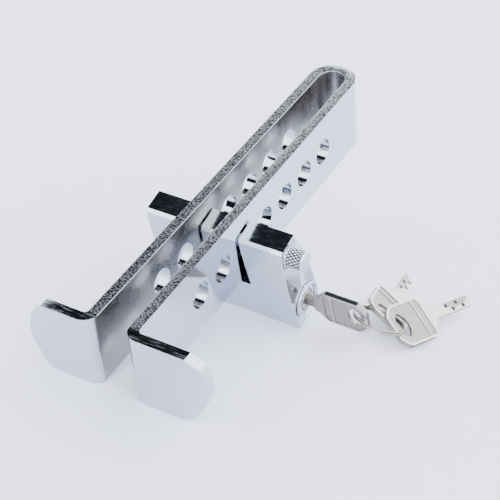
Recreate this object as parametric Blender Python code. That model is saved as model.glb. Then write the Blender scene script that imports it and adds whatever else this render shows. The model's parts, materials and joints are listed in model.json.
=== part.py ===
"""Pedal lock: a bent steel strap with two hooks, and a keyed lock body pinned across its legs.

Metres and degrees, +Z up, +Y from the hooks to the strap's bend. The lock rests on the front edges of its
hooks and on the near bottom edge of its lock body, so the strap is pitched up, and the body leans on it.
"""

import math

import bmesh
import bpy
from mathutils import Matrix, Vector

# Strap. Its own frame: X across, Y from the hooks' front face to the bend, Z up from its bottom edge.
STRAP_LENGTH = 0.2070
STRAP_HEIGHT = 0.0366
STRAP_THICKNESS = 0.0050
GAP_AT_HOOKS = 0.0153
GAP_AT_BEND = 0.0133
CORNER_INNER_RADIUS = 0.0020
LEFT_HOOK_REACH = 0.0408
RIGHT_HOOK_REACH = 0.0481
HOLE_DIAMETER = 0.0128
HOLE_PITCH = 0.01866
HOLE_COUNT = 7
FIRST_HOLE_FROM_BEND = 0.0437
PIN_HOLE = 4

# Lock body. Its own frame: origin on the pin's axis, X along the pin, Y away from the hooks, Z up.
BODY_LEAN = 12.5
BODY_LEFT = 0.0356
BODY_RIGHT = 0.0350
BODY_TOP = 0.0068
BASE_HEIGHT = 0.0262
FRONT_FACE = 0.0048
FRONT_BULGE = 0.0014
BACK_AT_TOP = 0.0071
BACK_AT_BOTTOM = 0.0143
BACK_BULGE = 0.0025
TOP_BEVEL = 0.0014
SLOT_FLARE = 0.0018
INNER_LEG_CLEARANCE = 0.0008
OUTER_LEG_CLEARANCE = 0.0007

# Locking pin
PIN_DIAMETER = 0.0090
PIN_TIP_REACH = 0.0200
PIN_TIP_CHAMFER = 0.0010
KNOB_DIAMETER = 0.0098
KNOB_LENGTH = 0.0088
KNOB_CHAMFER = 0.0007
COUNTERBORE_DEPTH = 0.0010
GROOVE_DEPTH = 0.0018

# Lock cylinder, on an axis along X through the base of the body
CYLINDER_BACK = 0.0047
CYLINDER_BELOW_FLOOR = 0.0149
HOUSING_RADIUS = 0.0080
HOUSING_LENGTH = 0.0236
HOUSING_REAR_WALL = 0.0018
FLANGE_RADIUS = 0.0090
FLANGE_THICKNESS = 0.0011
FLANGE_RIM = 0.0010
PLUG_RADIUS = 0.0050
PLUG_PROUD = 0.0007
TAIL_RADIUS = 0.0024
TAIL_LENGTH = 0.0068
HUB_RADIUS = 0.0042
HUB_LENGTH = 0.0052
CRANK_DISC_THICKNESS = 0.0026
CRANK_THROW = 0.0030
CRANK_PIN_RADIUS = 0.0012
CROSS_PIN_RADIUS = 0.0008
PIN_COUNT = 4
PIN_PITCH = 0.0035
PIN_ROW_OFFSET = 0.0013
FIRST_PIN_FROM_FACE = 0.0048
TUMBLER_RADIUS = 0.00075
DRIVER_LENGTH = 0.0007
SPRING_WIRE = 0.00012
SPRING_TURNS = 1.75
COVER_THICKNESS = 0.0006
RETAINING_PIN_RADIUS = 0.0015
RETAINING_PIN_FROM_FACE = 0.0190
RETAINING_PIN_BITE = 0.0014
FLANGE_CHAMFER = 0.0003
FLANGE_LIP = 0.0011
PLUG_CHAMFER = 0.0004

# Latch between the cylinder's crank and the pin's groove
LATCH_RADIUS = 0.0027
LATCH_BACK = 0.0017
LATCH_FOOT_BACK = 0.0092
LATCH_FOOT_WALL = 0.0016
POCKET_PLUG_THICKNESS = 0.0030

# Keys and split ring. A key's frame: origin in its ring hole, X to its tip, Y across, Z through it.
KEY_THICKNESS = 0.0022
BLADE_LENGTH = 0.0262
BLADE_WIDTH = 0.0058
HEAD_WIDTH = 0.0218
HEAD_LENGTH = 0.0262
HEAD_END_CHAMFER = 0.0045
COLLAR_WIDTH = 0.0112
COLLAR_LENGTH = 0.0022
SHOULDER_LENGTH = 0.0056
SHOULDER_INSET = 0.0022
BLADE_CHAMFER = 0.0010
HOLE_FROM_HEAD_END = 0.0066
KEY_HOLE_LENGTH = 0.0130
KEY_HOLE_WIDTH = 0.0070
DIMPLE_DEPTH = 0.0004
DIMPLE_RADIUS = 0.0009
KEY_1_NECK = 0.0052
RING_RADIUS = 0.01225
RING_WIRE = 0.0010
RING_TURNS = 1.9
RING_HEADING = 47.1
RING_DIP = 14.4
RING_ROLL = -1.0
KEYS_ON_RING = {
    "key_2": {"around": 48.8, "heading": 100.8, "dip": 3.0, "roll": 34.8},
    "key_3": {"around": -6.1, "heading": 71.2, "dip": 0.2, "roll": 32.6},
}

# Clearances
FIT = 0.0003
SLIDE_FIT = 0.00035
TUMBLER_FIT = 0.00025

# How far a cutter passes the face it cuts
PAST = 0.001

# Roundness
ARC_STEPS = 8
ROUND_SEGMENTS = 40
SMALL_SEGMENTS = 14
TINY_SEGMENTS = 8

X = Vector((1, 0, 0))
Y = Vector((0, 1, 0))
Z = Vector((0, 0, 1))


def clear_scene():
    for thing in list(bpy.data.objects):
        bpy.data.objects.remove(thing)


def finish(name, colour, metallic, roughness):
    """A plain finish for one piece."""
    material = bpy.data.materials.new(name)
    material.use_nodes = True
    shader = material.node_tree.nodes["Principled BSDF"]
    shader.inputs["Base Color"].default_value = (*colour, 1)
    shader.inputs["Metallic"].default_value = metallic
    shader.inputs["Roughness"].default_value = roughness
    material.diffuse_color = (*colour, 1)
    return material


CHROME = ((0.78, 0.80, 0.84), 1.0, 0.12)
NICKEL = ((0.64, 0.62, 0.58), 1.0, 0.30)
BRASS = ((0.72, 0.55, 0.28), 1.0, 0.30)
STEEL = ((0.50, 0.50, 0.52), 1.0, 0.35)


def add_object(name, mesh_maker, parent, look, smooth=True):
    """A named object from a bmesh, with its own material, under its parent."""
    mesh = bpy.data.meshes.new(name)
    bmesh.ops.recalc_face_normals(mesh_maker, faces=mesh_maker.faces)
    mesh_maker.to_mesh(mesh)
    mesh_maker.free()
    thing = bpy.data.objects.new(name, mesh)
    bpy.context.collection.objects.link(thing)
    thing.parent = parent
    mesh.materials.append(finish(name, *look))
    if smooth:
        mesh.shade_smooth()
        mesh.set_sharp_from_angle(angle=math.radians(30))
    return thing


def add_cutter(name, mesh_maker, parent):
    """A hidden shape that only takes material away."""
    cutter = add_object(name, mesh_maker, parent, STEEL, smooth=False)
    cutter.hide_render = True
    cutter.display_type = "WIRE"
    return cutter


def combine(thing, other, operation="DIFFERENCE"):
    """Adds a Boolean of another object. The exact solver leaves open edges here, so none uses it."""
    boolean = thing.modifiers.new(other.name, "BOOLEAN")
    boolean.object = other
    boolean.operation = operation
    boolean.solver = "MANIFOLD"


def prism(outline, axis, start, end):
    """A closed prism: the outline's pairs are the two coordinates that the axis leaves, in X, Y, Z order."""
    maker = bmesh.new()
    rows = []
    for along in (start, end):
        row = []
        for first, second in outline:
            point = {"X": (along, first, second), "Y": (first, along, second), "Z": (first, second, along)}
            row.append(maker.verts.new(point[axis]))
        rows.append(row)
    maker.faces.new(rows[0])
    maker.faces.new(rows[1][::-1])
    for i in range(len(outline)):
        j = (i + 1) % len(outline)
        maker.faces.new((rows[0][i], rows[0][j], rows[1][j], rows[1][i]))
    return maker


def box(low, high):
    outline = [(low[1], low[2]), (high[1], low[2]), (high[1], high[2]), (low[1], high[2])]
    return prism(outline, "X", low[0], high[0])


def turned(profile, segments=ROUND_SEGMENTS, axis=X, centre=(0, 0, 0), phase=0.0):
    """A solid of revolution from (along, radius) pairs that begin and end on the axis."""
    maker = bmesh.new()
    side = Y if axis is not Y else Z
    up = axis.cross(side)
    rings = []
    for along, radius in profile:
        middle = Vector(centre) + axis * along
        if radius == 0:
            rings.append([maker.verts.new(middle)])
            continue
        ring = []
        for i in range(segments):
            turn = 2 * math.pi * (i + phase) / segments
            ring.append(maker.verts.new(middle + (side * math.cos(turn) + up * math.sin(turn)) * radius))
        rings.append(ring)
    for near, far in zip(rings, rings[1:]):
        for i in range(segments):
            j = (i + 1) % segments
            corners = [near[i % len(near)], near[j % len(near)], far[j % len(far)], far[i % len(far)]]
            maker.faces.new(list(dict.fromkeys(corners)))
    return maker


def rod(radius, start, end, segments=SMALL_SEGMENTS, axis=X, centre=(0, 0, 0)):
    return turned([(start, 0), (start, radius), (end, radius), (end, 0)], segments, axis, centre)


def swept_wire(points, radius, sides):
    """A wire of round section along a list of points, with flat ends."""
    maker = bmesh.new()
    rings = []
    normal = None
    for i, point in enumerate(points):
        ahead = points[min(i + 1, len(points) - 1)]
        behind = points[max(i - 1, 0)]
        tangent = (ahead - behind).normalized()
        normal = tangent.orthogonal() if normal is None else normal
        normal = (normal - tangent * normal.dot(tangent)).normalized()
        across = tangent.cross(normal)
        ring = []
        for k in range(sides):
            turn = 2 * math.pi * k / sides
            ring.append(maker.verts.new(point + (normal * math.cos(turn) + across * math.sin(turn)) * radius))
        rings.append(ring)
    for near, far in zip(rings, rings[1:]):
        for k in range(sides):
            j = (k + 1) % sides
            maker.faces.new((near[k], near[j], far[j], far[k]))
    maker.faces.new(rings[0])
    maker.faces.new(rings[-1][::-1])
    return maker


def arc(centre, radius, start, end, steps):
    """Points on an arc, its angles in degrees."""
    points = []
    for i in range(steps + 1):
        turn = math.radians(start + (end - start) * i / steps)
        points.append((centre[0] + radius * math.cos(turn), centre[1] + radius * math.sin(turn)))
    return points


# ---- Places worked out from the driving dimensions -------------------------------------------------------


def half_gap(y):
    """Half the space between the legs at a distance from the hooks' front face."""
    share = y / STRAP_LENGTH
    return (GAP_AT_HOOKS + (GAP_AT_BEND - GAP_AT_HOOKS) * share) / 2


def hole_y(index):
    return STRAP_LENGTH - FIRST_HOLE_FROM_BEND - HOLE_PITCH * index


PIN_RADIUS = PIN_DIAMETER / 2
PIN_Y = hole_y(PIN_HOLE)
PIN_LIFT = HOLE_DIAMETER / 2 - PIN_RADIUS - FIT
PIN_Z = STRAP_HEIGHT / 2 + PIN_LIFT
LEAN = math.radians(BODY_LEAN)


def back_face(share):
    """The back face's depth at a share of the way from the body's top to its bottom."""
    straight = BACK_AT_TOP + (BACK_AT_BOTTOM - BACK_AT_TOP) * share
    return straight + 4 * BACK_BULGE * share * (1 - share)


def front_face(share):
    return -FRONT_FACE - 4 * FRONT_BULGE * share * (1 - share)


def find_slot_floor():
    """The slots' floor, whose back edge stops the strap's bottom edge when the body leans."""
    floor = -STRAP_HEIGHT / 2
    for _ in range(20):
        share = (BODY_TOP - floor) / (BODY_TOP - floor + BASE_HEIGHT)
        floor = (-PIN_Z - FIT - back_face(share) * math.sin(LEAN)) / math.cos(LEAN)
    return floor


SLOT_FLOOR = find_slot_floor()
BODY_BOTTOM = SLOT_FLOOR - BASE_HEIGHT
BODY_REACH = BODY_TOP - BODY_BOTTOM
PIN_TO_STRAP = half_gap(PIN_Y)
PRONG_HALF_WIDTH = PIN_TO_STRAP - INNER_LEG_CLEARANCE
SLOT_OUTER = PIN_TO_STRAP + STRAP_THICKNESS + OUTER_LEG_CLEARANCE
CYLINDER_Z = SLOT_FLOOR - CYLINDER_BELOW_FLOOR
FLANGE_BACK = BODY_RIGHT + FIT
FLANGE_FRONT = FLANGE_BACK + FLANGE_THICKNESS
HOUSING_FACE = FLANGE_FRONT - FLANGE_RIM
HOUSING_REAR = BODY_RIGHT - HOUSING_LENGTH
PLUG_FACE = HOUSING_FACE + PLUG_PROUD / 2
PLUG_REAR = HOUSING_REAR + HOUSING_REAR_WALL + FIT
TAIL_END = PLUG_REAR - TAIL_LENGTH
HUB_FRONT = HOUSING_REAR - FIT
HUB_REAR = HUB_FRONT - HUB_LENGTH
CRANK_FACE = HUB_REAR - CRANK_DISC_THICKNESS
LATCH_TRAVEL = 2 * CRANK_THROW * math.sin(math.radians(45))
CRANK_REST_Z = CYLINDER_Z - LATCH_TRAVEL / 2
CRANK_REST_Y = CYLINDER_BACK + LATCH_TRAVEL / 2
GROOVE_RADIUS = PIN_RADIUS - GROOVE_DEPTH
LATCH_TOP = -GROOVE_RADIUS - SLIDE_FIT - LATCH_TRAVEL
KEY_1_COLLAR = PLUG_FACE + KEY_1_NECK
HOLE_TO_COLLAR = HEAD_LENGTH - HOLE_FROM_HEAD_END
KEYWAY_END = KEY_1_COLLAR - BLADE_LENGTH - FIT
PLUG_BORE = PLUG_RADIUS + TUMBLER_FIT
DRIVER_START = PLUG_BORE + TUMBLER_FIT / 2
COVER_OUTER = HOUSING_RADIUS - TUMBLER_FIT
COVER_INNER = COVER_OUTER - COVER_THICKNESS
CHAMBER_RADIUS = TUMBLER_RADIUS + TUMBLER_FIT
COVER_HALF_WIDTH = PIN_ROW_OFFSET + CHAMBER_RADIUS + 0.0001


def body_outline(steps=10):
    """The body's outline in Y and Z: a bulged front and back, and a bevel along the top's front edge."""
    points = []
    for i in range(steps + 1):
        share = 1 - i / steps
        points.append((front_face(share), BODY_TOP - BODY_REACH * share))
    points[-1] = (points[-1][0], BODY_TOP - TOP_BEVEL)
    points.append((-FRONT_FACE + TOP_BEVEL, BODY_TOP))
    for i in range(steps + 1):
        share = i / steps
        points.append((back_face(share), BODY_TOP - BODY_REACH * share))
    return points


def find_pitch():
    """The strap's pitch, with the hooks' front edges and the body's lowest edge on one plane."""
    pitch = 0.0
    for depth, up in body_outline():
        along = PIN_Y + depth * math.cos(LEAN) - up * math.sin(LEAN)
        height = PIN_Z + depth * math.sin(LEAN) + up * math.cos(LEAN)
        pitch = max(pitch, math.atan2(-height, along))
    return pitch


def add_frame(name, parent, matrix):
    frame = bpy.data.objects.new(name, None)
    bpy.context.collection.objects.link(frame)
    frame.parent = parent
    frame.matrix_local = matrix
    return frame


# ---- Strap -----------------------------------------------------------------------------------------------


def leg_side(side, reach):
    """The outline of one leg and its hook in X and Y, from the bend's outside to its inside."""
    inner = CORNER_INNER_RADIUS
    outer = inner + STRAP_THICKNESS
    inside = half_gap(0)
    outside = inside + STRAP_THICKNESS
    corner = (outside + inner, outer)
    outer_corner = arc(corner, inner, 180, 270, ARC_STEPS)
    inner_corner = arc(corner, outer, 270, 180, ARC_STEPS)
    points = outer_corner + [(reach, STRAP_THICKNESS), (reach, 0)] + inner_corner
    return [(side * x, y) for x, y in points]


def strap_outline():
    bend_y = STRAP_LENGTH - GAP_AT_BEND / 2 - STRAP_THICKNESS
    inside = half_gap(bend_y)
    outer_bend = arc((0, bend_y), inside + STRAP_THICKNESS, 180, 0, 3 * ARC_STEPS)
    inner_bend = arc((0, bend_y), inside, 0, 180, 2 * ARC_STEPS)
    right = leg_side(1, RIGHT_HOOK_REACH)
    left = leg_side(-1, LEFT_HOOK_REACH)
    return outer_bend + right + inner_bend + left[::-1]


def hook_waste(side, reach, rounded):
    """What is cut from a blank hook: everything outside its end outline, given as X and Z pairs."""
    far = reach + PAST
    outline = [(rounded[0][0], STRAP_HEIGHT + PAST)] + rounded
    outline += [(rounded[-1][0], -PAST), (far, -PAST), (far, STRAP_HEIGHT + PAST)]
    return prism([(side * x, z) for x, z in outline], "Y", -PAST, STRAP_THICKNESS + PAST)


def make_strap(frame):
    strap = add_object("u_strap", prism(strap_outline(), "Z", 0, STRAP_HEIGHT), frame, CHROME)
    top = STRAP_HEIGHT
    reach = LEFT_HOOK_REACH
    left_end = [
        (reach - 0.0085, top), (reach - 0.0058, top - 0.0011), (reach - 0.0019, top - 0.0072),
        (reach - 0.0004, top - 0.0127), (reach, top - 0.0176), (reach - 0.0005, top - 0.0222),
        (reach - 0.0021, top - 0.0268), (reach - 0.0044, 0.0052), (reach - 0.0070, 0.0020),
        (reach - 0.0102, 0.0),
    ]
    reach = RIGHT_HOOK_REACH
    right_end = [
        (reach - 0.0100, top), (reach - 0.0028, top - 0.0032), (reach - 0.0008, top - 0.0090),
        (reach, top - 0.0150), (reach - 0.0010, top - 0.0205), (reach - 0.0031, top - 0.0253),
        (reach - 0.0064, 0.0054), (reach - 0.0108, 0.0018), (reach - 0.0145, 0.0),
    ]
    combine(strap, add_cutter("left_hook_waste", hook_waste(-1, LEFT_HOOK_REACH, left_end), frame))
    combine(strap, add_cutter("right_hook_waste", hook_waste(1, RIGHT_HOOK_REACH, right_end), frame))
    wide = GAP_AT_HOOKS / 2 + STRAP_THICKNESS + PAST
    for i in range(HOLE_COUNT):
        centre = (0, hole_y(i), STRAP_HEIGHT / 2)
        drill = rod(HOLE_DIAMETER / 2, -wide, wide, 28, X, centre)
        combine(strap, add_cutter(f"hole_{i + 1}", drill, frame))
    return strap


# ---- Lock body and the pin -------------------------------------------------------------------------------


def slot_shape(side):
    """A slot for one leg in X and Z: its outer wall flares towards the floor."""
    top = BODY_TOP + PAST
    outline = [(PRONG_HALF_WIDTH, SLOT_FLOOR), (SLOT_OUTER + SLOT_FLARE, SLOT_FLOOR)]
    outline += [(SLOT_OUTER, top), (PRONG_HALF_WIDTH, top)]
    return prism([(side * x, z) for x, z in outline], "Y", -0.03, 0.03)


def make_body(frame):
    body = add_object("lock_body", prism(body_outline(), "X", -BODY_LEFT, BODY_RIGHT), frame, CHROME)
    cylinder_axis = (0, CYLINDER_BACK, CYLINDER_Z)
    pin_bore = PIN_RADIUS + FIT
    cutters = {
        "left_leg_slot": slot_shape(-1),
        "right_leg_slot": slot_shape(1),
        "pin_bore": rod(pin_bore, -PIN_TIP_REACH - PAST, BODY_RIGHT + PAST, 32),
        "knob_seat": rod(KNOB_DIAMETER / 2 + FIT, BODY_RIGHT - COUNTERBORE_DEPTH, 0.05, 32),
        "cylinder_bore": rod(
            HOUSING_RADIUS + FIT, HOUSING_REAR - 2 * FIT, BODY_RIGHT + PAST, 36, X, cylinder_axis
        ),
        "crank_bore": rod(
            CRANK_THROW + CRANK_PIN_RADIUS + 2 * FIT, 0, HOUSING_REAR, 24, X, cylinder_axis
        ),
        "latch_bore": rod(
            LATCH_RADIUS + SLIDE_FIT, BODY_BOTTOM + 0.005, -GROOVE_RADIUS, 24, Z, (0, LATCH_BACK, 0)
        ),
        "latch_pocket": box(
            (-LATCH_RADIUS - SLIDE_FIT, LATCH_BACK - LATCH_RADIUS - SLIDE_FIT, BODY_BOTTOM - PAST),
            (LATCH_RADIUS + SLIDE_FIT, LATCH_FOOT_BACK + SLIDE_FIT, CYLINDER_Z + 0.0078),
        ),
        "retaining_pin_bore": rod(
            RETAINING_PIN_RADIUS + FIT, BODY_BOTTOM - PAST, CYLINDER_Z, SMALL_SEGMENTS, Z,
            (BODY_RIGHT - RETAINING_PIN_FROM_FACE, CYLINDER_BACK, 0),
        ),
    }
    for name, shape in cutters.items():
        combine(body, add_cutter(name, shape, frame))
    return body


def make_locking_pin(frame):
    knob = KNOB_DIAMETER / 2
    tip = -PIN_TIP_REACH
    groove = LATCH_RADIUS + SLIDE_FIT
    knob_start = BODY_RIGHT - COUNTERBORE_DEPTH + FIT
    knob_end = BODY_RIGHT + KNOB_LENGTH
    profile = [
        (tip, 0), (tip, PIN_RADIUS - PIN_TIP_CHAMFER), (tip + PIN_TIP_CHAMFER, PIN_RADIUS),
        (-groove, PIN_RADIUS), (-groove, GROOVE_RADIUS), (groove, GROOVE_RADIUS), (groove, PIN_RADIUS),
        (knob_start, PIN_RADIUS), (knob_start, knob), (knob_end - KNOB_CHAMFER, knob),
        (knob_end, knob - KNOB_CHAMFER), (knob_end, 0),
    ]
    return add_object("locking_pin", turned(profile, 32), frame, CHROME)


def make_latch(frame):
    """An upright bolt whose foot holds the crank's pin in a slot open to the back."""
    front = LATCH_BACK - LATCH_RADIUS
    slot_half = CRANK_PIN_RADIUS + SLIDE_FIT
    foot_top = CRANK_REST_Z + slot_half + LATCH_FOOT_WALL
    foot_bottom = CRANK_REST_Z - slot_half - LATCH_FOOT_WALL
    overlap = 0.0005
    bolt = add_object(
        "latch_bolt",
        rod(LATCH_RADIUS, foot_top - overlap, LATCH_TOP, 24, Z, (0, LATCH_BACK, 0)),
        frame,
        STEEL,
    )
    foot = box((-LATCH_RADIUS, front, foot_bottom), (LATCH_RADIUS, LATCH_FOOT_BACK, foot_top))
    combine(bolt, add_cutter("latch_foot", foot, frame), "UNION")
    reach = CRANK_REST_Y - slot_half
    slot = box(
        (-LATCH_RADIUS - PAST, reach, CRANK_REST_Z - slot_half),
        (LATCH_RADIUS + PAST, LATCH_FOOT_BACK + PAST, CRANK_REST_Z + slot_half),
    )
    combine(bolt, add_cutter("crank_slot", slot, frame))
    plug = box(
        (-LATCH_RADIUS, front, BODY_BOTTOM + FIT),
        (LATCH_RADIUS, LATCH_FOOT_BACK, BODY_BOTTOM + POCKET_PLUG_THICKNESS),
    )
    add_object("latch_pocket_plug", plug, frame, STEEL, smooth=False)


# ---- Lock cylinder ---------------------------------------------------------------------------------------


def tumbler_places():
    """The X and Z of each tumbler pin: one row, stepping from side to side of the blade."""
    places = []
    for i in range(PIN_COUNT):
        along = PLUG_FACE - FIRST_PIN_FROM_FACE - PIN_PITCH * i
        places.append((along, CYLINDER_Z + PIN_ROW_OFFSET * (-1) ** i))
    return places


def make_housing(frame):
    axis = (0, CYLINDER_BACK, CYLINDER_Z)
    profile = [
        (HOUSING_REAR, 0), (HOUSING_REAR, HOUSING_RADIUS), (FLANGE_BACK, HOUSING_RADIUS),
        (FLANGE_BACK, FLANGE_RADIUS), (FLANGE_FRONT - FLANGE_CHAMFER, FLANGE_RADIUS),
        (FLANGE_FRONT, FLANGE_RADIUS - FLANGE_CHAMFER), (FLANGE_FRONT, FLANGE_RADIUS - FLANGE_LIP),
        (HOUSING_FACE, FLANGE_RADIUS - FLANGE_LIP - FLANGE_CHAMFER), (HOUSING_FACE, 0),
    ]
    housing = add_object("cylinder_housing", turned(profile, ROUND_SEGMENTS, X, axis), frame, CHROME)
    plug_bore = rod(PLUG_BORE, HOUSING_REAR + HOUSING_REAR_WALL, FLANGE_FRONT + PAST, 32, X, axis)
    combine(housing, add_cutter("plug_bore", plug_bore, frame))
    tail_bore = rod(TAIL_RADIUS + FIT, HOUSING_REAR - PAST, PLUG_REAR, 20, X, axis)
    combine(housing, add_cutter("tail_bore", tail_bore, frame))
    for i, (along, up) in enumerate(tumbler_places()):
        chamber = rod(CHAMBER_RADIUS, 0, HOUSING_RADIUS + PAST, SMALL_SEGMENTS, Y, (along, CYLINDER_BACK, up))
        combine(housing, add_cutter(f"housing_chamber_{i + 1}", chamber, frame))
    places = tumbler_places()
    rear = places[-1][0] - CHAMBER_RADIUS - 0.0005
    front = places[0][0] + CHAMBER_RADIUS + 0.0005
    groove = box(
        (rear, CYLINDER_BACK + COVER_INNER - TUMBLER_FIT, CYLINDER_Z - COVER_HALF_WIDTH - TUMBLER_FIT),
        (front, CYLINDER_BACK + HOUSING_RADIUS + PAST, CYLINDER_Z + COVER_HALF_WIDTH + TUMBLER_FIT),
    )
    combine(housing, add_cutter("cover_groove", groove, frame))
    cover = box(
        (rear + TUMBLER_FIT, CYLINDER_BACK + COVER_INNER, CYLINDER_Z - COVER_HALF_WIDTH),
        (front - TUMBLER_FIT, CYLINDER_BACK + COVER_OUTER, CYLINDER_Z + COVER_HALF_WIDTH),
    )
    add_object("pin_chamber_cover", cover, frame, BRASS, smooth=False)
    pin_x = BODY_RIGHT - RETAINING_PIN_FROM_FACE
    bite = CYLINDER_Z - HOUSING_RADIUS + RETAINING_PIN_BITE
    seat = rod(
        RETAINING_PIN_RADIUS + FIT, CYLINDER_Z - HOUSING_RADIUS - PAST, bite + FIT, SMALL_SEGMENTS, Z,
        (pin_x, CYLINDER_BACK, 0),
    )
    combine(housing, add_cutter("retaining_pin_seat", seat, frame))
    retaining_pin = rod(
        RETAINING_PIN_RADIUS, BODY_BOTTOM + FIT, bite, SMALL_SEGMENTS, Z, (pin_x, CYLINDER_BACK, 0)
    )
    add_object("housing_retaining_pin", retaining_pin, frame, STEEL)


def make_plug(frame):
    """The plug's pieces turn on the cylinder's axis, so their origin is on it."""
    profile = [
        (TAIL_END, 0), (TAIL_END, TAIL_RADIUS), (PLUG_REAR, TAIL_RADIUS), (PLUG_REAR, PLUG_RADIUS),
        (PLUG_FACE - PLUG_CHAMFER, PLUG_RADIUS), (PLUG_FACE, PLUG_RADIUS - PLUG_CHAMFER), (PLUG_FACE, 0),
    ]
    plug = add_object("cylinder_plug", turned(profile, 32), frame, NICKEL)
    half_width = BLADE_WIDTH / 2 + FIT
    half_thick = KEY_THICKNESS / 2 + FIT
    keyway = box((KEYWAY_END, -half_thick, -half_width), (PLUG_FACE + PAST, half_thick, half_width))
    combine(plug, add_cutter("keyway", keyway, frame))
    for i, (along, up) in enumerate(tumbler_places()):
        centre = (along, 0, up - CYLINDER_Z)
        chamber = rod(CHAMBER_RADIUS, 0, PLUG_RADIUS + PAST, SMALL_SEGMENTS, Y, centre)
        combine(plug, add_cutter(f"plug_chamber_{i + 1}", chamber, frame))
    hub = [
        (CRANK_FACE, 0), (CRANK_FACE, HUB_RADIUS), (HUB_FRONT, HUB_RADIUS), (HUB_FRONT, 0),
    ]
    cam = add_object("cylinder_cam", turned(hub, 28), frame, STEEL)
    socket = rod(TAIL_RADIUS + FIT, TAIL_END - FIT, HUB_FRONT + PAST, 20)
    combine(cam, add_cutter("tail_socket", socket, frame))
    crank = Vector((0, CRANK_REST_Y - CYLINDER_BACK, CRANK_REST_Z - CYLINDER_Z))
    crank_pin = rod(CRANK_PIN_RADIUS, -LATCH_RADIUS - FIT, CRANK_FACE + 0.0005, SMALL_SEGMENTS, X, crank)
    combine(cam, add_cutter("crank_pin", crank_pin, frame), "UNION")
    cross_x = (TAIL_END + HUB_FRONT) / 2
    cross_end = HUB_RADIUS - FIT
    cross_out = HUB_RADIUS + PAST
    hole = rod(CROSS_PIN_RADIUS + FIT / 2, -cross_out, cross_out, TINY_SEGMENTS, Z, (cross_x, 0, 0))
    cutter = add_cutter("cross_hole", hole, frame)
    combine(cam, cutter)
    combine(plug, cutter)
    cross_pin = rod(CROSS_PIN_RADIUS, -cross_end, cross_end, TINY_SEGMENTS, Z, (cross_x, 0, 0))
    add_object("cam_cross_pin", cross_pin, frame, STEEL)
    outer = math.sqrt(PLUG_RADIUS**2 - (PIN_ROW_OFFSET + TUMBLER_RADIUS) ** 2) - FIT / 2
    inner = KEY_THICKNESS / 2 + FIT / 2
    for i, (along, up) in enumerate(tumbler_places()):
        pin = [
            (inner, 0), (inner, TUMBLER_RADIUS / 2), (inner + TUMBLER_RADIUS / 2, TUMBLER_RADIUS),
            (outer, TUMBLER_RADIUS), (outer, 0),
        ]
        shape = turned(pin, TINY_SEGMENTS, Y, (along, 0, up - CYLINDER_Z))
        add_object(f"key_pin_{i + 1}", shape, frame, BRASS)


def make_drivers(frame):
    for i, (along, up) in enumerate(tumbler_places()):
        centre = (along, CYLINDER_BACK, up)
        start = DRIVER_START
        end = start + DRIVER_LENGTH
        driver = rod(TUMBLER_RADIUS, start, end, TINY_SEGMENTS, Y, centre)
        add_object(f"driver_pin_{i + 1}", driver, frame, BRASS)
        low = end + SPRING_WIRE + TUMBLER_FIT / 3
        high = COVER_INNER - SPRING_WIRE - TUMBLER_FIT / 3
        coil = TUMBLER_RADIUS - SPRING_WIRE
        steps = round(SPRING_TURNS * TINY_SEGMENTS)
        points = []
        for k in range(steps + 1):
            turn = 2 * math.pi * k / TINY_SEGMENTS
            offset = Vector((coil * math.cos(turn), low + (high - low) * k / steps, coil * math.sin(turn)))
            points.append(Vector(centre) + offset)
        add_object(f"pin_spring_{i + 1}", swept_wire(points, SPRING_WIRE, 5), frame, STEEL)


# ---- Keys and ring ---------------------------------------------------------------------------------------


def key_outline():
    """A key's outline in its own X and Y: blade, stepped collar and head."""
    blade = BLADE_WIDTH / 2
    collar = COLLAR_WIDTH / 2
    head = HEAD_WIDTH / 2
    tip = HOLE_TO_COLLAR + BLADE_LENGTH
    root = HOLE_TO_COLLAR
    end = -HOLE_FROM_HEAD_END
    half = [
        (tip, blade - BLADE_CHAMFER), (tip - BLADE_CHAMFER, blade), (root + COLLAR_LENGTH / 2, blade),
        (root + COLLAR_LENGTH / 2, collar), (root - COLLAR_LENGTH / 2, collar),
        (root - 0.6 * SHOULDER_LENGTH, head - SHOULDER_INSET), (root - SHOULDER_LENGTH, head),
        (end + HEAD_END_CHAMFER, head), (end + 0.5 * HEAD_END_CHAMFER, head - 0.4 * HEAD_END_CHAMFER),
        (end, head - HEAD_END_CHAMFER),
    ]
    return half + [(x, -y) for x, y in half[::-1]]


def lens(length, width, steps):
    """A pointed oval across a key, as two arcs."""
    half = length / 2
    rise = width / 2
    radius = (half * half + rise * rise) / (2 * rise)
    sweep = math.degrees(math.asin(half / radius))
    right = arc((rise - radius, 0), radius, -sweep, sweep, steps)
    left = arc((radius - rise, 0), radius, 180 - sweep, 180 + sweep, steps)
    return right[:-1] + left[:-1]


def make_key(name, frame):
    half = KEY_THICKNESS / 2
    key = add_object(name, prism(key_outline(), "Z", -half, half), frame, NICKEL)
    hole = prism(lens(KEY_HOLE_LENGTH, KEY_HOLE_WIDTH, ARC_STEPS), "Z", -half - PAST, half + PAST)
    combine(key, add_cutter(f"{name}_ring_hole", hole, frame))
    for i in range(PIN_COUNT):
        along = HOLE_TO_COLLAR + KEY_1_NECK + FIRST_PIN_FROM_FACE + PIN_PITCH * i
        across = PIN_ROW_OFFSET * (-1) ** i
        for face in (-1, 1):
            top = face * (half + PAST)
            bottom = face * (half - DIMPLE_DEPTH)
            low, high = sorted((top, bottom))
            shape = rod(DIMPLE_RADIUS, low, high, TINY_SEGMENTS, Z, (along, across, 0))
            combine(key, add_cutter(f"{name}_dimple_{i + 1}_{face}", shape, frame))
    return key


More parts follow.
